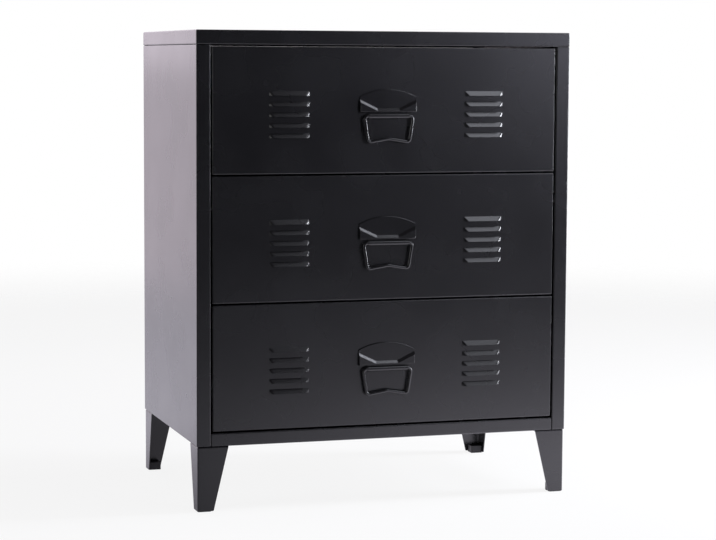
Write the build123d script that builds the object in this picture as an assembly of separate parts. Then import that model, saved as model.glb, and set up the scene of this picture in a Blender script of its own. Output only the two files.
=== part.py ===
"""A three-drawer steel chest on tapered legs: folded sheet panels, runners, louvred fronts and bail handles.

Millimetres, X to the right, Y from the front to the back, Z up, floor at zero.
A depth is measured backwards from the front plane of the drawers.
Left-hand pieces are modelled and mirrored; a drawer is modelled with its lower edge at zero height.
"""
import os
from math import atan2, hypot, tan

from build123d import *

# Overall size
WIDTH = 600.0
DEPTH = 380.0  # front plane to the outside of the back panel
HEIGHT = 728.0
LEG_HEIGHT = 100.0  # floor to the underside of the carcase

# Sheet steel
SHEET = 1.0  # carcase panels
DRAWER_SHEET = 0.8
LEG_SHEET = 1.5
RUNNER_SHEET = 1.2
INSIDE_BEND = 1.0  # inner radius of every folded edge

# Carcase
CAP_HEIGHT = 22.0  # folded edge of the top
STILE = 22.0  # face of a side panel beside the drawers
STILE_RETURN = 50.0  # how far a side panel folds back behind its stile
RAIL_HEIGHT = 20.0  # base panel's front edge, under the drawers
FLANGE = 20.0  # inward lip of the top, the base and the drawer fronts
BACK_INSET = 3.0  # back panel's edges stay clear of the bends

# Legs and feet
LEG_INSET = 1.2  # outer faces of a leg, in from the carcase
LEG_TOP = 48.5  # width of each leg flange at the top
LEG_TIP = 25.0  # and at the bottom
LEG_CORNER = 2.0  # rounded lower corner of each flange
LEG_LIFT = 1.0  # steel stays this far off the floor
FOOT = 20.0  # side of the square plastic foot
FOOT_HEIGHT = 12.0
FOOT_ROUND = 2.0

# Drawers
DRAWER_NAMES = ("lower", "middle", "upper")
GAP = 2.5  # round each drawer front
FRONT_THICK = 18.0
TRAY_LIFT = 10.0  # tray's underside above the lower edge of its front
TRAY_DROP = 42.0  # tray's rim below the upper edge of its front
TRAY_WALL_LAP = 10.0  # tray's front wall over the upper lip of the drawer front
TRAY_HEM = 8.0  # doubled upper edge of the tray sides
BACK_TAB = 10.0  # tabs of the tray back, folded backwards
REAR_SPACE = 34.0  # behind the trays and runners

# Louvres
LOUVRES = 5
LOUVRE_PITCH = 16.0
LOUVRE_LENGTH = 63.0
LOUVRE_HEIGHT = 7.0
LOUVRE_DEPTH = 5.0
LOUVRE_END = 6.0  # length of the slope at each end
LOUVRE_ROUND = 3.5  # between the face and those slopes
LOUVRE_OFFSET = 156.0  # middle of a group from the middle of the front
LOUVRE_LOWEST = 54.5  # lip of the lowest louvre above the lower edge of the front

# Runners
RUNNER_WIDTH = 14.0  # tray side to stile return
RUNNER_HEIGHT = 34.0
RUNNER_LIFT = 45.0  # middle of a runner above the tray's underside
RUNNER_START = 22.0  # depth of a runner's front end
RAIL_SIZE = 24.0  # height of the drawer rail
RAIL_CLEARANCE = 0.7  # between rail and runner, sideways
PAD_LENGTH = 25.0  # nylon pad under the rail
GLIDE_LENGTH = 30.0  # nylon glide on the end of the rail
GLIDE_GRIP = 5.0  # nylon under the glide's rivet
GLIDE_CLEARANCE = 0.2
STOP_GAP = 0.5
STOP_CLEARANCE = 0.6  # front stop above the rail

# Handles
PLATE_WIDTH = 90.0
PLATE_THICK = 2.0
PLATE_FOOT = 93.5  # lower edge of the plate above the lower edge of the drawer front
PLATE_SIDE = 24.0  # height of the plate's straight sides
PLATE_RISE = 11.0  # crown of the arc above those sides
BOSS_THICK = 6.0  # raised front of the plate, from the drawer front
NOTCH_FLOOR = 4.0  # notch's floor above the plate's lower edge, halfway up its bevel
NOTCH_WIDTH = 35.0  # width of that floor
NOTCH_SIDE = 17.0  # where the notch meets the plate's sides
HANDLE_ROUND = 1.0  # worn edges of the casting
TUBE_DROP = 6.0  # hinge axis below the plate's lower edge
TUBE_REACH = 6.0  # hinge axis in front of the drawer front
TUBE_WALL = 0.9
TUBE_GAP = 1.5  # end of the tube to the bend of the wire
BAIL_WIRE = 5.0
BAIL_TOP = 78.5  # between the middles of the wires at the top
BAIL_FOOT = 66.0  # and at the lower corners
BAIL_DROP = 40.0  # hinge axis to the lower corners
BAIL_KINK = 5.5  # rise of the lower bar in the middle
BAIL_BEND = 5.0
BAIL_KINK_BEND = 22.0
BAIL_CLEARANCE = 0.1  # round the wire in its tube

# Fasteners
SCREW_SHANK = 4.0
SCREW_HEAD = 7.0
SCREW_HEAD_HEIGHT = 1.6
SCREW_LENGTH = 7.0
SCREW_SLOT = 0.9
SCREW_SLOT_DEPTH = 0.8
HOLE_CLEARANCE = 0.1
HANDLE_SCREW_LENGTH = 5.0
HANDLE_SCREW_IN = 7.0  # from the plate's sides
HANDLE_SCREW_LIFT = 6.5  # from the plate's lower edge
RIVET_HEAD_HEIGHT = 1.2
TOP_SCREWS = 3
BACK_SCREWS = 5
SCREW_END = 40.0  # end screws of a row from the ends of the seam
FRONT_SCREW_IN = 95.5  # from the sides of the drawer front
LEG_SCREW_DEPTH = 38.0
LEG_SCREW_IN = 14.0  # screw into the base, in from the stile's edge
BASE_SCREW_DEPTH = 30.0
RUNNER_SCREW_IN = 6.0  # screws from the ends of the runner

# What follows from those sizes
TUBE_RADIUS = BAIL_WIRE / 2 + BAIL_CLEARANCE + TUBE_WALL
HANDLE_REACH = max(BOSS_THICK, TUBE_REACH + TUBE_RADIUS)
FRONT = (HANDLE_REACH - DEPTH - SCREW_HEAD_HEIGHT) / 2
BACK = FRONT + DEPTH
CARCASE_BACK = BACK - SHEET
CARCASE_TOP = HEIGHT - CAP_HEIGHT
SIDE = WIDTH / 2
SEAM = SIDE - STILE / 2  # middle of a side panel's flanges
OPENING = SIDE - STILE  # half the space between the stiles
FRONT_HALF = OPENING - GAP
FRONT_HEIGHT = (CARCASE_TOP - LEG_HEIGHT - RAIL_HEIGHT - GAP) / len(DRAWER_NAMES) - GAP
LOWEST_FRONT = LEG_HEIGHT + RAIL_HEIGHT + GAP
TRAY_HALF = OPENING - RUNNER_WIDTH
TRAY_RIM = FRONT_HEIGHT - TRAY_DROP
TRAY_BACK = DEPTH - SHEET - REAR_SPACE
RUNNER_MIDDLE = TRAY_LIFT + RUNNER_LIFT
RUNNER_TIP = TRAY_HALF + RUNNER_SHEET + RAIL_CLEARANCE
RAIL_TIP = OPENING - RUNNER_SHEET - SCREW_HEAD_HEIGHT - RAIL_CLEARANCE
GLIDE_END = TRAY_BACK - RUNNER_SHEET - STOP_GAP
GLIDE_START = GLIDE_END - GLIDE_LENGTH
STOP_START = RUNNER_START + PAD_LENGTH + STOP_GAP
DRAWER_TRAVEL = GLIDE_START - STOP_START - RUNNER_SHEET - STOP_GAP
TUBE_HEIGHT = PLATE_FOOT - TUBE_DROP
LEFT_TO_RIGHT = Plane.YZ
FRONT_TO_BACK = Plane(origin=(0, (FRONT + BACK) / 2, 0), z_dir=(0, 1, 0))
HEAD_RIGHT = Rot(0, 90, 0)
HEAD_BACK = Rot(-90, 0, 0)
HEAD_DOWN = Rot(180, 0, 0)


def block(x, y, z):
    """A box between two planes on each axis."""
    size = [high - low for low, high in (x, y, z)]
    middle = [(high + low) / 2 for low, high in (x, y, z)]
    return Pos(*middle) * Box(*size)


def at_depth(start, end):
    """The two planes at these depths behind the front."""
    return (FRONT + start, FRONT + end)


def folded_box(x, y, z, sheet):
    """A hollow box of sheet metal with a bend along every edge."""
    outer = block(x, y, z)
    inner = block(*[(low + sheet, high - sheet) for low, high in (x, y, z)])
    return fillet(outer.edges(), INSIDE_BEND + sheet) - fillet(inner.edges(), INSIDE_BEND)


def mirrored(solid):
    """The same piece on the other side of the chest."""
    return mirror(solid, about=LEFT_TO_RIGHT)


def spread(start, end, count):
    """Evenly spaced places from one end to the other."""
    return [start + (end - start) * step / (count - 1) for step in range(count)]


def drawer_lifts():
    """A move up to each drawer's place, from the lowest."""
    return [Pos(0, 0, LOWEST_FRONT + level * (FRONT_HEIGHT + GAP)) for level in range(len(DRAWER_NAMES))]


# Fasteners, with the head above the origin and the shank below
def round_head(height):
    """A low round head that stands on the origin."""
    head = Pos(0, 0, height / 2) * Cylinder(SCREW_HEAD / 2, height)
    return fillet(head.edges().group_by(Axis.Z)[-1], height / 2)


def shank(length):
    """The straight part under a head."""
    return Pos(0, 0, -length / 2) * Cylinder(SCREW_SHANK / 2, length)


def screw(length):
    """A pan-head screw with a cross slot."""
    slot = Box(SCREW_HEAD / 2, SCREW_SLOT, 2 * SCREW_SLOT_DEPTH)
    cross = Pos(0, 0, SCREW_HEAD_HEIGHT) * (slot + Rot(0, 0, 90) * slot)
    return round_head(SCREW_HEAD_HEIGHT) + shank(length) - cross


def rivet(grip):
    """A rivet with a round head at each end of its grip."""
    head = round_head(RIVET_HEAD_HEIGHT)
    return head + shank(grip) + mirror(head, about=Plane.XY.offset(-grip / 2))


def fastener_group(places, fastener):
    """A fastener at each place on the left and at its mirror image on the right."""
    left = [place * fastener for place in places]
    return Compound(left + [mirrored(solid) for solid in left])


def holes(places):
    """Clearance holes for the fasteners at these places, on both sides."""
    drill = Cylinder(SCREW_SHANK / 2 + HOLE_CLEARANCE, 4 * SCREW_LENGTH)
    left = [place * drill for place in places]
    return left + [mirrored(solid) for solid in left]


def top_screw_places():
    """Up through the side panel's upper flange into the lip of the top."""
    rows = spread(FRONT + SCREW_END, CARCASE_BACK - SCREW_END, TOP_SCREWS)
    return [Pos(-SEAM, y, CARCASE_TOP - SHEET) * HEAD_DOWN for y in rows]


def back_screw_places():
    """From behind, through the back panel into the side panel's rear flange."""
    rows = spread(LEG_HEIGHT + SCREW_END, CARCASE_TOP - SCREW_END, BACK_SCREWS)
    return [Pos(-SEAM, BACK, z) * HEAD_BACK for z in rows]


def leg_screw_places():
    """Up through the leg's plate, one into the side panel and one into the base."""
    rows = (FRONT + LEG_SCREW_DEPTH, BACK - LEG_SCREW_DEPTH)
    columns = (-SEAM, -OPENING + LEG_SCREW_IN)
    return [Pos(x, y, LEG_HEIGHT - LEG_SHEET) * HEAD_DOWN for x in columns for y in rows]


def base_screw_places():
    """Sideways from inside the base into the stile returns."""
    rows = (FRONT + BASE_SCREW_DEPTH, CARCASE_BACK - BASE_SCREW_DEPTH)
    return [Pos(-OPENING + SHEET, y, LEG_HEIGHT + RAIL_HEIGHT / 2) * HEAD_RIGHT for y in rows]


def runner_screw_places():
    """Sideways from inside a runner into the stile returns."""
    rows = at_depth(RUNNER_START + RUNNER_SCREW_IN, TRAY_BACK - RUNNER_SCREW_IN)
    return [Pos(-OPENING + RUNNER_SHEET, y, RUNNER_MIDDLE) * HEAD_RIGHT for y in rows]


def all_runner_screw_places():
    """The runner screws of every drawer."""
    return [lift * place for lift in drawer_lifts() for place in runner_screw_places()]


def front_screw_places():
    """From inside the tray into the lower and upper lips of the drawer front."""
    low = TRAY_LIFT + 2 * DRAWER_SHEET + INSIDE_BEND + SCREW_HEAD / 2
    rows = (low, FRONT_HEIGHT - FLANGE + TRAY_WALL_LAP / 2)
    x = -FRONT_HALF + FRONT_SCREW_IN
    return [Pos(x, FRONT + FRONT_THICK + DRAWER_SHEET, z) * HEAD_BACK for z in rows]


def handle_screw_places():
    """From behind the drawer front into the back of the handle plate."""
    x = -PLATE_WIDTH / 2 + HANDLE_SCREW_IN
    return [Pos(x, FRONT + DRAWER_SHEET, PLATE_FOOT + HANDLE_SCREW_LIFT) * HEAD_BACK]


def rail_rivet_places():
    """From inside the tray through the rail, in front and halfway along."""
    rows = spread(FRONT + RUNNER_START + PAD_LENGTH, FRONT + GLIDE_START, 3)[:2]
    return [Pos(-TRAY_HALF + DRAWER_SHEET, y, RUNNER_MIDDLE) * HEAD_RIGHT for y in rows]


def glide_rivet_places():
    """From inside the tray through the rail's tongue and the glide."""
    y = FRONT + (GLIDE_START + GLIDE_END) / 2
    return [Pos(-TRAY_HALF + DRAWER_SHEET, y, RUNNER_MIDDLE) * HEAD_RIGHT]


# Carcase
def top_panel():
    """A pan folded down all round, with a lip turned in along its lower edge."""
    pan = folded_box((-SIDE, SIDE), (FRONT, BACK), (CARCASE_TOP, HEIGHT), SHEET)
    x = SIDE - FLANGE
    y = (FRONT + FLANGE, BACK - FLANGE)
    opening = block((-x, x), y, (CARCASE_TOP, CARCASE_TOP + SHEET))
    return pan - opening - holes(top_screw_places())


def left_side_panel():
    """A lipped channel: stile and return in front, the same behind, flanges above and below."""
    box = folded_box((-SIDE, -OPENING), (FRONT, CARCASE_BACK), (LEG_HEIGHT, CARCASE_TOP), SHEET)
    x = (-OPENING - SHEET - INSIDE_BEND, -OPENING)
    y = (FRONT + STILE_RETURN, CARCASE_BACK - STILE_RETURN)
    places = top_screw_places() + back_screw_places() + leg_screw_places() + base_screw_places()
    return box - block(x, y, (LEG_HEIGHT, CARCASE_TOP)) - holes(places + all_runner_screw_places())


def back_panel():
    """A flat sheet over the rear flanges of the sides."""
    x = SIDE - BACK_INSET
    z = (LEG_HEIGHT + BACK_INSET, CARCASE_TOP - BACK_INSET)
    return block((-x, x), (CARCASE_BACK, BACK), z) - holes(back_screw_places())


def base_panel():
    """A shallow tray between the sides; its front edge is the rail under the drawers."""
    top = LEG_HEIGHT + RAIL_HEIGHT
    tray = folded_box((-OPENING, OPENING), (FRONT, CARCASE_BACK), (LEG_HEIGHT, top), SHEET)
    y = (FRONT + FLANGE, CARCASE_BACK - FLANGE)
    opening = block((-OPENING, OPENING), y, (top - SHEET - INSIDE_BEND, top))
    return tray - opening - holes(leg_screw_places() + base_screw_places())


def front_left_leg():
    """An angle of sheet steel that tapers to the floor, with a plate turned in at the top."""
    outline = [(0, LEG_LIFT), (LEG_TIP, LEG_LIFT), (LEG_TOP, LEG_HEIGHT), (0, LEG_HEIGHT)]
    face = make_face(Polyline(*outline, close=True))
    face = fillet(face.vertices().group_by(Axis.Y)[0].sort_by(Axis.X)[-1], LEG_CORNER)
    post = extrude(Plane.XZ * face, amount=-LEG_TOP) & extrude(Plane.YZ * face, amount=LEG_TOP)
    shoulder = post.edges().group_by(Axis.Z)[-1]
    bends = post.edges().filter_by(Axis.Z) + shoulder.sort_by(Axis.X)[:1] + shoulder.sort_by(Axis.Y)[:1]
    post = fillet(bends, INSIDE_BEND + LEG_SHEET)
    hollow = block((LEG_SHEET, 2 * LEG_TOP), (LEG_SHEET, 2 * LEG_TOP), (0, LEG_HEIGHT - LEG_SHEET))
    inner_top = hollow.edges().group_by(Axis.Z)[-1]
    inner_bends = inner_top.sort_by(Axis.X)[:1] + inner_top.sort_by(Axis.Y)[:1]
    inner_bends += hollow.edges().filter_by(Axis.Z).sort_by(lambda edge: sum(edge.center()))[:1]
    leg = post - fillet(inner_bends, INSIDE_BEND)
    return Pos(-SIDE + LEG_INSET, FRONT + LEG_INSET, 0) * leg - holes(leg_screw_places())


def front_left_foot():
    """A plastic pad that fills the corner of the leg and carries it off the floor."""
    x = -SIDE + LEG_INSET + LEG_SHEET
    y = FRONT + LEG_INSET + LEG_SHEET
    pad = block((x, x + FOOT), (y, y + FOOT), (0, FOOT_HEIGHT))
    return fillet(pad.edges().filter_by(Axis.Z), FOOT_ROUND)


# Runners
def left_runner():
    """A channel open towards the drawer, closed behind by a stop and with a stop tab in front."""
    z = (RUNNER_MIDDLE - RUNNER_HEIGHT / 2, RUNNER_MIDDLE + RUNNER_HEIGHT / 2)
    inner_x = (-OPENING + RUNNER_SHEET, -RUNNER_TIP)
    channel = block((-OPENING, -RUNNER_TIP), at_depth(RUNNER_START, TRAY_BACK), z)
    channel -= block(inner_x, at_depth(RUNNER_START, TRAY_BACK - RUNNER_SHEET),
                     (z[0] + RUNNER_SHEET, z[1] - RUNNER_SHEET))
    tab_low = RUNNER_MIDDLE + RAIL_SIZE / 2 + STOP_CLEARANCE
    tab = block(inner_x, at_depth(STOP_START, STOP_START + RUNNER_SHEET), (tab_low, z[1] - RUNNER_SHEET))
    return channel + tab - holes(runner_screw_places())


def left_pad():
    """A nylon strip on the runner's lower flange that the rail slides on."""
    low = RUNNER_MIDDLE - RUNNER_HEIGHT / 2 + RUNNER_SHEET
    high = RUNNER_MIDDLE - RAIL_SIZE / 2 - GLIDE_CLEARANCE
    y = at_depth(RUNNER_START, RUNNER_START + PAD_LENGTH)
    return block((-OPENING + RUNNER_SHEET, -RUNNER_TIP), y, (low, high))


def left_rail():
    """A channel on the tray's side; behind its flanges a tongue carries the glide."""
    z = (RUNNER_MIDDLE - RAIL_SIZE / 2, RUNNER_MIDDLE + RAIL_SIZE / 2)
    y = at_depth(RUNNER_START, GLIDE_START)
    web = (-TRAY_HALF - RUNNER_SHEET, -TRAY_HALF)
    channel = block((-RAIL_TIP, -TRAY_HALF), y, z)
    channel -= block((-RAIL_TIP, web[0]), y, (z[0] + RUNNER_SHEET, z[1] - RUNNER_SHEET))
    tongue = block(web, at_depth(GLIDE_START, GLIDE_END), z)
    return channel + tongue - holes(rail_rivet_places() + glide_rivet_places())


def left_glide():
    """A nylon block on the rail's tongue that fills the runner's height."""
    half = RUNNER_HEIGHT / 2 - RUNNER_SHEET - GLIDE_CLEARANCE
    z = (RUNNER_MIDDLE - half, RUNNER_MIDDLE + half)
    body = block((-RAIL_TIP, -TRAY_HALF - RUNNER_SHEET), at_depth(GLIDE_START, GLIDE_END), z)
    recess_start = DRAWER_SHEET + RUNNER_SHEET + GLIDE_GRIP
    recess = Cylinder(SCREW_HEAD / 2 + HOLE_CLEARANCE, RUNNER_WIDTH)
    recess = Pos(0, 0, -recess_start - RUNNER_WIDTH / 2) * recess
    return body - holes(glide_rivet_places()) - [place * recess for place in glide_rivet_places()]


# Drawers
def louvre_form(shrink):
    """A hood that slopes out from its top and its ends to the lip; shrink moves each slope inwards."""
    height = LOUVRE_HEIGHT - shrink * hypot(LOUVRE_HEIGHT, LOUVRE_DEPTH) / LOUVRE_DEPTH
    depth = LOUVRE_DEPTH * height / LOUVRE_HEIGHT
    half = LOUVRE_LENGTH / 2 - shrink * hypot(LOUVRE_END, LOUVRE_DEPTH) / LOUVRE_DEPTH
    tip = half - LOUVRE_END * depth / LOUVRE_DEPTH
    side = Plane.YZ * make_face(Polyline((0, 0), (0, height), (-depth, 0), close=True))
    plan = make_face(Polyline((-half, 0), (half, 0), (tip, -depth), (-tip, -depth), close=True))
    hood = extrude(side, amount=half, both=True) & extrude(plan, amount=height)
    hips = hood.edges().filter_by(Plane.XY, reverse=True).filter_by(Axis.Z, reverse=True)
    return fillet(hips, LOUVRE_ROUND - shrink)


def drawer_front():
    """A pan with its open side to the tray, two groups of pressed louvres and the handle's screw holes."""
    y = at_depth(0, FRONT_THICK)
    pan = folded_box((-FRONT_HALF, FRONT_HALF), y, (0, FRONT_HEIGHT), DRAWER_SHEET)
    x = FRONT_HALF - FLANGE
    pan -= block((-x, x), (y[1] - DRAWER_SHEET, y[1]), (FLANGE, FRONT_HEIGHT - FLANGE))
    hollow = louvre_form(DRAWER_SHEET)
    slot = extrude(hollow.faces().sort_by(Axis.Y)[-1], amount=2 * DRAWER_SHEET)
    shell = louvre_form(0) - hollow
    places = [Pos(side * LOUVRE_OFFSET, FRONT, LOUVRE_LOWEST + row * LOUVRE_PITCH)
              for side in (-1, 1) for row in range(LOUVRES)]
    pan -= [place * slot for place in places] + holes(front_screw_places() + handle_screw_places())
    return pan + [place * shell for place in places]


def tray():
    """The drawer's floor, sides and front wall, folded from one sheet, with hemmed rims."""
    spare = 4 * (INSIDE_BEND + DRAWER_SHEET)
    x = (-TRAY_HALF, TRAY_HALF)
    z = (TRAY_LIFT, TRAY_RIM + spare)
    box = folded_box(x, at_depth(FRONT_THICK, TRAY_BACK + spare), z, DRAWER_SHEET)
    box -= block(x, at_depth(FRONT_THICK, TRAY_BACK + spare), (TRAY_RIM, TRAY_RIM + spare))
    box -= block(x, at_depth(TRAY_BACK, TRAY_BACK + spare), z)
    wall_top = FRONT_HEIGHT - FLANGE + TRAY_WALL_LAP
    box += block(x, at_depth(FRONT_THICK, FRONT_THICK + DRAWER_SHEET), (TRAY_RIM, wall_top))
    hem_x = (-TRAY_HALF + DRAWER_SHEET, -TRAY_HALF + 2 * DRAWER_SHEET)
    hem_y = at_depth(FRONT_THICK + DRAWER_SHEET, TRAY_BACK - BACK_TAB - DRAWER_SHEET)
    hem = block(hem_x, hem_y, (TRAY_RIM - TRAY_HEM, TRAY_RIM))
    places = front_screw_places() + rail_rivet_places() + glide_rivet_places()
    return box + [hem, mirrored(hem)] - holes(places)


def tray_back():
    """A sheet between the tray's sides, with tabs folded backwards along its sides and foot."""
    half = TRAY_HALF - DRAWER_SHEET
    low = TRAY_LIFT + DRAWER_SHEET
    start = TRAY_BACK - BACK_TAB
    sheet = block((-half, half), at_depth(start, start + DRAWER_SHEET), (low, TRAY_RIM))
    sheet = fillet(sheet.edges().filter_by(Axis.Y).group_by(Axis.Z)[0], 2 * INSIDE_BEND)
    y = at_depth(start, TRAY_BACK)
    clear = 2 * INSIDE_BEND
    side_tab = block((-half, -half + DRAWER_SHEET), y, (low + clear, TRAY_RIM))
    foot_tab = block((-half + clear, half - clear), y, (low, low + DRAWER_SHEET))
    return sheet + [side_tab, mirrored(side_tab), foot_tab]


def handle_plate():
    """A cast plate with an arched top, a raised front with a bevelled notch, and a hinge tube below."""
    half = PLATE_WIDTH / 2
    face_plane = Plane(origin=(0, FRONT, PLATE_FOOT), x_dir=(1, 0, 0), z_dir=(0, -1, 0))
    arch = ThreePointArc((half, PLATE_SIDE), (0, PLATE_SIDE + PLATE_RISE), (-half, PLATE_SIDE))
    sides = Polyline((-half, PLATE_SIDE), (-half, 0), (half, 0), (half, PLATE_SIDE))
    plate = extrude(face_plane * make_face([arch, sides]), amount=PLATE_THICK)
    boss = block((-half, half), (FRONT - BOSS_THICK, FRONT), (PLATE_FOOT, PLATE_FOOT + PLATE_SIDE))
    run = half - NOTCH_WIDTH / 2
    notch_top = 2 * NOTCH_SIDE - NOTCH_FLOOR
    notch = make_face(Polyline((-NOTCH_WIDTH / 2, NOTCH_FLOOR), (NOTCH_WIDTH / 2, NOTCH_FLOOR),
                               (half + run, notch_top), (-half - run, notch_top), close=True))
    bevel = (BOSS_THICK - PLATE_THICK) / 2
    shallow = face_plane.offset(PLATE_THICK) * offset(notch, -bevel, kind=Kind.INTERSECTION)
    deep = face_plane.offset(BOSS_THICK) * offset(notch, bevel, kind=Kind.INTERSECTION)
    handle = plate + (boss - loft([shallow, deep]))
    crown = handle.edges().filter_by(GeomType.CIRCLE).sort_by(Axis.Y)[:1]
    handle = fillet(handle.edges().group_by(Axis.Y)[0] + crown, HANDLE_ROUND)
    axis = Pos(0, FRONT - TUBE_REACH, TUBE_HEIGHT) * Rot(0, 90, 0)
    length = tube_length()
    tongue = block((-length / 2, length / 2), (FRONT - PLATE_THICK, FRONT), (TUBE_HEIGHT, PLATE_FOOT))
    web = block((-length / 2, length / 2), (FRONT - TUBE_REACH, FRONT),
                (TUBE_HEIGHT - TUBE_RADIUS / 2, TUBE_HEIGHT + TUBE_RADIUS / 2))
    handle = handle + [axis * Cylinder(TUBE_RADIUS, length), tongue, web]
    handle -= axis * Cylinder(BAIL_WIRE / 2 + BAIL_CLEARANCE, 2 * length)
    socket_depth = HANDLE_SCREW_LENGTH - DRAWER_SHEET + HOLE_CLEARANCE
    socket = Pos(0, 0, -socket_depth - DRAWER_SHEET) * Cylinder(
        SCREW_SHANK / 2 + HOLE_CLEARANCE, socket_depth, align=(Align.CENTER, Align.CENTER, Align.MIN))
    sockets = [place * socket for place in handle_screw_places()]
    return handle - sockets - [mirrored(solid) for solid in sockets]


def tube_length():
    """The straight part of the bail's top bar, less a gap at each end."""
    turn = atan2(BAIL_DROP, (BAIL_FOOT - BAIL_TOP) / 2)
    return BAIL_TOP - 2 * BAIL_BEND * tan(turn / 2) - 2 * TUBE_GAP


def bail():
    """A closed ring of wire whose top bar turns in the hinge tube; the lower bar rises in the middle."""
    top, foot = BAIL_TOP / 2, BAIL_FOOT / 2
    corners = [(0, BAIL_KINK - BAIL_DROP), (foot, -BAIL_DROP), (top, 0), (-top, 0), (-foot, -BAIL_DROP)]
    bends = [BAIL_KINK_BEND] + 4 * [BAIL_BEND]
    ring_plane = Plane(origin=(0, FRONT - TUBE_REACH, TUBE_HEIGHT), x_dir=(1, 0, 0), z_dir=(0, -1, 0))
    path = ring_plane * FilletPolyline(*corners, radius=bends, close=True)
    section = Plane(path @ 0, z_dir=path % 0) * Circle(BAIL_WIRE / 2)
    return sweep(section, path)


def chest():
    """Every node of the chest by name, in its place."""
    nodes = {"top_panel": top_panel(), "back_panel": back_panel(), "base_panel": base_panel()}
    nodes["left_side_panel"] = left_side_panel()
    nodes["right_side_panel"] = mirrored(nodes["left_side_panel"])
    for piece, front_left in (("leg", front_left_leg()), ("foot", front_left_foot())):
        front_right = mirrored(front_left)
        nodes[f"front_left_{piece}"] = front_left
        nodes[f"front_right_{piece}"] = front_right
        nodes[f"back_left_{piece}"] = mirror(front_left, about=FRONT_TO_BACK)
        nodes[f"back_right_{piece}"] = mirror(front_right, about=FRONT_TO_BACK)
    nodes["top_screws"] = fastener_group(top_screw_places(), screw(SCREW_LENGTH))
    nodes["back_screws"] = fastener_group(back_screw_places(), screw(SCREW_LENGTH))
    nodes["leg_screws"] = fastener_group(leg_screw_places(), screw(SCREW_LENGTH))
    nodes["base_screws"] = fastener_group(base_screw_places(), screw(SCREW_LENGTH))
    nodes["runner_screws"] = fastener_group(all_runner_screw_places(), screw(SCREW_LENGTH))
    pads = [left_pad(), mirrored(left_pad())]
    nodes["runner_pads"] = Compound([lift * pad for lift in drawer_lifts() for pad in pads])
    rail_rivet = rivet(DRAWER_SHEET + RUNNER_SHEET)
    glide_rivet = rivet(DRAWER_SHEET + RUNNER_SHEET + GLIDE_GRIP)
    rivets = [place * rail_rivet for place in rail_rivet_places()]
    rivets += [place * glide_rivet for place in glide_rivet_places()]
    left = {"runner": left_runner(), "rail": left_rail()}
    drawer = {
        "drawer_front": drawer_front(), "tray": tray(), "tray_back": tray_back(),
        "handle_plate": handle_plate(), "bail": bail(),
        "rail_glides": Compound([left_glide(), mirrored(left_glide())]),
        "rail_rivets": Compound(rivets + [mirrored(solid) for solid in rivets]),
        "front_screws": fastener_group(front_screw_places(), screw(SCREW_LENGTH)),
        "handle_screws": fastener_group(handle_screw_places(), screw(HANDLE_SCREW_LENGTH)),
    }
    for piece, solid in left.items():
        drawer[f"left_{piece}"] = solid
        drawer[f"right_{piece}"] = mirrored(solid)
    for name, lift in zip(DRAWER_NAMES, drawer_lifts()):
        for piece, solid in drawer.items():
            nodes[f"{name}_{piece}"] = lift * solid
    return nodes


os.makedirs("parts", exist_ok=True)
for node_name, node in chest().items():
    export_step(node, f"parts/{node_name}.step")
print(f"drawer travel {DRAWER_TRAVEL:.1f}, front plane at Y {FRONT:.2f}, tube {tube_length():.2f} long")
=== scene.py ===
from math import radians

import bmesh
import bpy
from mathutils import Matrix, Vector

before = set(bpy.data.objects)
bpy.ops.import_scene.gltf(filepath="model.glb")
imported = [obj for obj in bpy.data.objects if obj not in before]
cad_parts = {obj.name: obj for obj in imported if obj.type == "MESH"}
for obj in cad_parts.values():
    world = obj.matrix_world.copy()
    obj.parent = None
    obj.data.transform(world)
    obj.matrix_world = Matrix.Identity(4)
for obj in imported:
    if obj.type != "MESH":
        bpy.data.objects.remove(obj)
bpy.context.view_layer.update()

# Carcase panels and legs: mild steel sheet, folded and screwed together.
# They are sprayed with black powder and baked, which leaves a satin skin with a fine orange peel,
# and the thin sheet between its folds is never quite flat, so reflections on it waver a little.
CARCASE_PANELS = ["top_panel", "back_panel", "base_panel", "left_side_panel", "right_side_panel"]
LEGS = ["front_left_leg", "front_right_leg", "back_left_leg", "back_right_leg"]
DRAWERS = ["lower", "middle", "upper"]
COAT_DARK = "#121214"
COAT_PALE = "#19191b"


def srgb(code):
    """A hex colour as linear red, green, blue and alpha."""
    shares = [int(code[place:place + 2], 16) / 255 for place in (1, 3, 5)]
    return [s / 12.92 if s <= 0.04045 else ((s + 0.055) / 1.055) ** 2.4 for s in shares] + [1.0]


def add_node(tree, kind, inputs, **properties):
    """Adds a node, sets its properties, and gives each named input a value or a link."""
    node = tree.nodes.new(kind)
    for name, value in properties.items():
        setattr(node, name, value)
    for name, value in inputs.items():
        if isinstance(value, bpy.types.NodeSocket):
            tree.links.new(value, node.inputs[name])
        else:
            node.inputs[name].default_value = value
    return node


def new_finish(name):
    """An empty node material with its shader, and the tree and Object coordinates to build on."""
    finish = bpy.data.materials.new(name)
    finish.use_nodes = True
    tree = finish.node_tree
    coordinates = add_node(tree, "ShaderNodeTexCoord", {}).outputs["Object"]
    return finish, tree, tree.nodes["Principled BSDF"], coordinates


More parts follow.
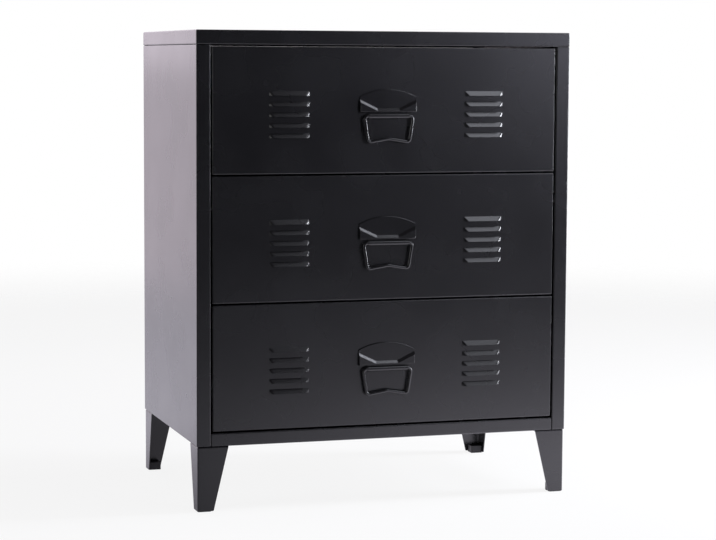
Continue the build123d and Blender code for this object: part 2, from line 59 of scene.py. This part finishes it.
def satin_powder_coat(name, dark, pale, gloss):
    """Baked powder: near black, satin, with orange peel drawn at 4 mm so that it shows in the render."""
    peel_width, cloud_width, wave_width = 0.004, 0.09, 0.22
    peel_height, wave_height = 0.000007, 0.0003
    gloss_swing, enamel_ior = 0.015, 1.55
    finish, tree, shader, coordinates = new_finish(name)
    cloud = add_node(tree, "ShaderNodeTexNoise", {"Vector": coordinates, "Scale": 1 / cloud_width})
    speck = add_node(tree, "ShaderNodeTexNoise", {"Vector": coordinates, "Scale": 1 / peel_width})
    wave = add_node(tree, "ShaderNodeTexNoise", {"Vector": coordinates, "Scale": 1 / wave_width,
                                                 "Detail": 0.0})
    tone = add_node(tree, "ShaderNodeMix", {0: cloud.outputs["Fac"], 6: srgb(dark), 7: srgb(pale)},
                    data_type="RGBA")
    tree.links.new(tone.outputs[2], shader.inputs["Base Color"])
    sheen = add_node(tree, "ShaderNodeMapRange", {"Value": cloud.outputs["Fac"], "From Min": 0.3,
                                                  "From Max": 0.7, "To Min": gloss - gloss_swing,
                                                  "To Max": gloss + gloss_swing})
    tree.links.new(sheen.outputs[0], shader.inputs["Roughness"])
    sheet = add_node(tree, "ShaderNodeBump", {"Height": wave.outputs["Fac"], "Distance": wave_height})
    peel = add_node(tree, "ShaderNodeBump", {"Height": speck.outputs["Fac"], "Distance": peel_height,
                                             "Normal": sheet.outputs["Normal"]})
    tree.links.new(peel.outputs["Normal"], shader.inputs["Normal"])
    shader.inputs["IOR"].default_value = enamel_ior
    return finish


def dress(nodes, finish):
    """Gives a finish to the solids of these nodes."""
    for node in nodes:
        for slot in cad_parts[node].material_slots:
            slot.material = finish


black_coat = satin_powder_coat("satin_black_powder_coat", COAT_DARK, COAT_PALE, 0.27)
dress(CARCASE_PANELS + LEGS, black_coat)

# Feet: square pads of black polypropylene, pushed up into the corners of the legs.
# They are moulded in a spark-eroded tool, so the skin is matt with a fine even grain.
FEET = ["front_left_foot", "front_right_foot", "back_left_foot", "back_right_foot"]


def moulded_plastic(name, colour, gloss):
    """Matt moulded skin with a grain of 1.5 mm, coarser than the real one so that it shows."""
    grain_width, grain_height, gloss_swing = 0.0015, 0.00003, 0.1
    finish, tree, shader, coordinates = new_finish(name)
    grain = add_node(tree, "ShaderNodeTexNoise", {"Vector": coordinates, "Scale": 1 / grain_width})
    skin = add_node(tree, "ShaderNodeMapRange", {"Value": grain.outputs["Fac"],
                                                 "To Min": gloss - gloss_swing,
                                                 "To Max": gloss + gloss_swing})
    tree.links.new(skin.outputs[0], shader.inputs["Roughness"])
    bump = add_node(tree, "ShaderNodeBump", {"Height": grain.outputs["Fac"], "Distance": grain_height})
    tree.links.new(bump.outputs["Normal"], shader.inputs["Normal"])
    shader.inputs["Base Color"].default_value = srgb(colour)
    return finish


dress(FEET, moulded_plastic("moulded_black_polypropylene", "#0d0d0e", 0.6))

# Runners and rails: zinc-plated steel channels, with the screws and rivets that hold them.
# Bright plating has a bluish grey spangle, fine rolling lines and a soft metal gloss.
CHANNELS = ["left_runner", "left_rail", "right_runner", "right_rail"]
FASTENERS = ["rail_rivets", "front_screws", "handle_screws"]
ZINC_PIECES = [f"{drawer}_{part}" for drawer in DRAWERS for part in CHANNELS + FASTENERS]
ZINC_PIECES += ["top_screws", "base_screws", "runner_screws"]


def zinc_plate(name, dark, pale, gloss):
    """Electroplated zinc: a metal whose tone shifts from crystal to crystal over a few millimetres."""
    spangle_width, line_width, line_height = 0.005, 0.0012, 0.00001
    along_line, gloss_swing = 0.04, 0.08
    finish, tree, shader, coordinates = new_finish(name)
    spangle = add_node(tree, "ShaderNodeTexVoronoi", {"Vector": coordinates, "Scale": 1 / spangle_width})
    stretch = add_node(tree, "ShaderNodeMapping", {"Vector": coordinates, "Scale": (1.0, along_line, 1.0)})
    lines = add_node(tree, "ShaderNodeTexNoise", {"Vector": stretch.outputs["Vector"],
                                                  "Scale": 1 / line_width})
    crystal = add_node(tree, "ShaderNodeSeparateColor", {"Color": spangle.outputs["Color"]})
    tone = add_node(tree, "ShaderNodeMix", {0: crystal.outputs[0], 6: srgb(dark), 7: srgb(pale)},
                    data_type="RGBA")
    tree.links.new(tone.outputs[2], shader.inputs["Base Color"])
    sheen = add_node(tree, "ShaderNodeMapRange", {"Value": lines.outputs["Fac"],
                                                  "To Min": gloss - gloss_swing,
                                                  "To Max": gloss + gloss_swing})
    tree.links.new(sheen.outputs[0], shader.inputs["Roughness"])
    bump = add_node(tree, "ShaderNodeBump", {"Height": lines.outputs["Fac"], "Distance": line_height})
    tree.links.new(bump.outputs["Normal"], shader.inputs["Normal"])
    shader.inputs["Metallic"].default_value = 1.0
    return finish


dress(ZINC_PIECES, zinc_plate("bright_zinc_plate", "#a9adb2", "#c3c6ca", 0.3))

# Screws that show behind and underneath: the same steel screws, plated in black zinc.
# The plating is a dark metal with a slight olive cast and a duller gloss than the paint.
dress(["back_screws", "leg_screws"], zinc_plate("black_zinc_plate", "#26262a", "#323234", 0.36))

# Pads and glides: natural nylon, moulded, on which the rails slide in the runners.
# Nylon is a warm white, slightly cloudy, and polished where it rubs.
NYLON = ["runner_pads"] + [f"{drawer}_rail_glides" for drawer in DRAWERS]
dress(NYLON, moulded_plastic("natural_moulded_nylon", "#dedad0", 0.45))

# Drawer trays: thinner sheet folded into a box, with hemmed rims and a back that is tabbed in.
# They get the same powder as the carcase, with less build-up inside, so they are a little duller.
TRAYS = [f"{drawer}_{part}" for drawer in DRAWERS for part in ("tray", "tray_back")]
dress(TRAYS, satin_powder_coat("satin_black_powder_coat_inside", COAT_DARK, COAT_PALE, 0.34))

# Drawer fronts: pans of sheet steel with two groups of louvres pressed through their faces.
# They hang in the same spray line as the carcase and come out with the same satin black.
FRONTS = [f"{drawer}_drawer_front" for drawer in DRAWERS]
dress(FRONTS, black_coat)

# Handle plates and bails: a cast plate with a hinge tube, and a ring of wire that turns in the tube.
# Both are dipped in black enamel, which flows out smoother and glossier than the powder.
HANDLES = [f"{drawer}_{part}" for drawer in DRAWERS for part in ("handle_plate", "bail")]
dress(HANDLES, satin_powder_coat("dipped_black_enamel", "#111113", "#171719", 0.25))

# Floor: a pale studio sweep, white where the camera looks and softly shaded under the chest.
# Its lit share takes the lamps, and reflections see a painted glow on it, brighter behind and to the right
# and slightly lavender, so the steel mirrors it dimmer at the front and the left; the floor fades out at its
# rim.
FLOOR_RADIUS = 4.0
FLOOR_CLEAR = 2.4
FLOOR_SIDES = 96
SEEN_WHITE = 0.88
MIRRORED_SHARE = 0.5
MIRRORED_LEFT = 0.32
MIRRORED_RIGHT = 4.3
MIRRORED_BEHIND = 2.15
LEFT_FULL, RIGHT_FULL = -0.3, 0.5
FRONT_DARK, FRONT_FULL = -1.6, -0.5
BEHIND_FROM, BEHIND_FULL = -0.4, 0.6
floor_mesh = bpy.data.meshes.new("studio_floor")
floor = bpy.data.objects.new("studio_floor", floor_mesh)
bpy.context.collection.objects.link(floor)
sweep = bmesh.new()
bmesh.ops.create_circle(sweep, cap_ends=True, radius=FLOOR_RADIUS, segments=FLOOR_SIDES)
sweep.to_mesh(floor_mesh)
sweep.free()

paper, tree, shader, coordinates = new_finish("pale_paper_sweep")
shader.inputs["Base Color"].default_value = srgb("#f2f2f2")
shader.inputs["Roughness"].default_value = 0.9
rays = add_node(tree, "ShaderNodeLightPath", {})
place = add_node(tree, "ShaderNodeSeparateXYZ", {0: coordinates})
# Painted light: the glow that reflections see on the floor rises from left to right and from front to back,
# and is tinted lavender.
across = add_node(tree, "ShaderNodeMapRange", {"Value": place.outputs["X"], "From Min": LEFT_FULL,
                                               "From Max": RIGHT_FULL, "To Min": MIRRORED_LEFT,
                                               "To Max": MIRRORED_RIGHT})
front = add_node(tree, "ShaderNodeMapRange", {"Value": place.outputs["Y"], "From Min": FRONT_DARK,
                                              "From Max": FRONT_FULL, "To Min": 0.0,
                                              "To Max": across.outputs[0]})
mirrored = add_node(tree, "ShaderNodeMapRange", {"Value": place.outputs["Y"], "From Min": BEHIND_FROM,
                                                 "From Max": BEHIND_FULL, "To Min": front.outputs[0],
                                                 "To Max": MIRRORED_BEHIND})
glossy = rays.outputs["Is Glossy Ray"]
painted_glow = add_node(tree, "ShaderNodeMix", {0: glossy, 2: 1.0, 3: mirrored.outputs[0]})
tint = add_node(tree, "ShaderNodeMix", {0: glossy, 6: srgb("#ffffff"), 7: srgb("#f6f1ff")}, data_type="RGBA")
glossy_veil = add_node(tree, "ShaderNodeMath", {0: glossy, 1: MIRRORED_SHARE}, operation="MULTIPLY")
veil = add_node(tree, "ShaderNodeMath", {0: rays.outputs["Is Camera Ray"], 1: SEEN_WHITE,
                                         2: glossy_veil.outputs[0]}, operation="MULTIPLY_ADD")
white = add_node(tree, "ShaderNodeEmission", {"Color": tint.outputs[2], "Strength": painted_glow.outputs[0]})
lit = add_node(tree, "ShaderNodeMixShader", {0: veil.outputs[0], 1: shader.outputs[0], 2: white.outputs[0]})
reach = add_node(tree, "ShaderNodeVectorMath", {0: coordinates}, operation="LENGTH")
fade = add_node(tree, "ShaderNodeMapRange", {"Value": reach.outputs["Value"], "From Min": FLOOR_CLEAR,
                                             "From Max": FLOOR_RADIUS}, interpolation_type="SMOOTHSTEP")
clear = add_node(tree, "ShaderNodeBsdfTransparent", {})
edge = add_node(tree, "ShaderNodeMixShader", {0: fade.outputs[0], 1: lit.outputs[0], 2: clear.outputs[0]})
tree.links.new(edge.outputs[0], tree.nodes["Material Output"].inputs["Surface"])
floor_mesh.materials.append(paper)

# Surroundings: white for the camera, and for reflections a white wall behind the chest, a grey ceiling
# and a dark room in front, as in a studio whose dark half is behind the camera.
AMBIENT = 0.1
WALL_WHITE = 1.4
CEILING_GREY = 0.09
WALL_FROM, WALL_FULL = 0.0, 0.5
CEILING_FROM, CEILING_FULL = 0.1, 0.9
world = bpy.data.worlds.new("white_studio")
bpy.context.scene.world = world
world.use_nodes = True
tree = world.node_tree
backdrop = tree.nodes["Background"]
rays = add_node(tree, "ShaderNodeLightPath", {})
outward = add_node(tree, "ShaderNodeTexCoord", {}).outputs["Generated"]
direction = add_node(tree, "ShaderNodeSeparateXYZ", {0: outward})
ceiling = add_node(tree, "ShaderNodeMapRange", {"Value": direction.outputs["Z"], "From Min": CEILING_FROM,
                                                "From Max": CEILING_FULL, "To Min": 0.0,
                                                "To Max": CEILING_GREY}, interpolation_type="SMOOTHSTEP")
wall = add_node(tree, "ShaderNodeMapRange", {"Value": direction.outputs["Y"], "From Min": WALL_FROM,
                                             "From Max": WALL_FULL, "To Min": 0.0,
                                             "To Max": WALL_WHITE}, interpolation_type="SMOOTHSTEP")
room = add_node(tree, "ShaderNodeMath", {0: wall.outputs[0], 1: ceiling.outputs[0]}, operation="ADD")
reflected = add_node(tree, "ShaderNodeMix", {0: rays.outputs["Is Glossy Ray"], 2: AMBIENT,
                                             3: room.outputs[0]})
seen = add_node(tree, "ShaderNodeMath", {0: rays.outputs["Is Camera Ray"],
                                         1: rays.outputs["Is Transmission Ray"]}, operation="MAXIMUM")
strength = add_node(tree, "ShaderNodeMix", {0: seen.outputs[0], 2: reflected.outputs[0], 3: 1.0})
tree.links.new(strength.outputs[0], backdrop.inputs["Strength"])
tint = add_node(tree, "ShaderNodeMix", {0: seen.outputs[0], 6: srgb("#fef3ff"), 7: srgb("#ffffff")},
                data_type="RGBA")
tree.links.new(tint.outputs[2], backdrop.inputs["Color"])

# Lamps: soft boxes and cards, most of them on the right, whose reflections draw the louvres and bends.
# Those on the right are slightly blue and the card behind is slightly pink.


def softbox(name, place, aim, width, height, power, tint):
    """A rectangular soft light at a place, turned to face its aim."""
    lamp = bpy.data.lights.new(name, "AREA")
    lamp.shape = "RECTANGLE"
    lamp.size = width
    lamp.size_y = height
    lamp.energy = power
    lamp.color = srgb(tint)[:3]
    light = bpy.data.objects.new(name, lamp)
    light.location = place
    light.rotation_euler = (Vector(aim) - Vector(place)).to_track_quat("-Z", "Y").to_euler()
    light.visible_camera = False
    bpy.context.collection.objects.link(light)


softbox("overhead_softbox", (0.72, -0.55, 1.7), (0.3, -0.3, 0.4), 0.6, 0.6, 4.3, "#f1f4ff")
softbox("high_right_softbox", (1.8, -0.05, 2.2), (0.0, 0.0, 0.5), 0.8, 0.9, 29, "#f1f4ff")
softbox("right_strip", (2.3, -0.25, 0.75), (0.0, -0.2, 0.4), 0.4, 0.9, 72, "#f4f7ff")
softbox("front_right_card", (2.05, -3.2, 1.25), (0.2, -0.2, 0.6), 1.0, 1.1, 24, "#ededff")
softbox("back_left_card", (-0.7, 1.5, 1.0), (-0.5, 0.0, 0.5), 1.4, 0.7, 2, "#fef3ff")
softbox("left_strip", (-2.1, -0.75, 0.9), (0.0, -0.2, 0.6), 0.5, 1.0, 6.5, "#ffffff")

# Camera: a long lens a little to the left of the chest and just below its top.
# Place, angles and focal length come from a fit to the straight edges of the chest, in metres and degrees.
CAMERA_PLACE = (-1.044242, -3.332783, 0.683048)
CAMERA_TURN = 17.5945
CAMERA_DIP = 5.5302
CAMERA_ROLL = 0.3139
FOCAL_PIXELS = 2162.195
PHOTO_WIDTH = 716
lens = bpy.data.cameras.new("studio_camera")
lens.sensor_width = 36.0
lens.lens = FOCAL_PIXELS / PHOTO_WIDTH * lens.sensor_width
camera = bpy.data.objects.new("studio_camera", lens)
turn = Matrix.Rotation(radians(-CAMERA_TURN), 4, "Z") @ Matrix.Rotation(radians(90 - CAMERA_DIP), 4, "X")
camera.matrix_world = Matrix.Translation(CAMERA_PLACE) @ turn @ Matrix.Rotation(radians(CAMERA_ROLL), 4, "Z")
bpy.context.collection.objects.link(camera)
bpy.context.scene.camera = camera
bpy.context.scene.view_settings.view_transform = "Standard"
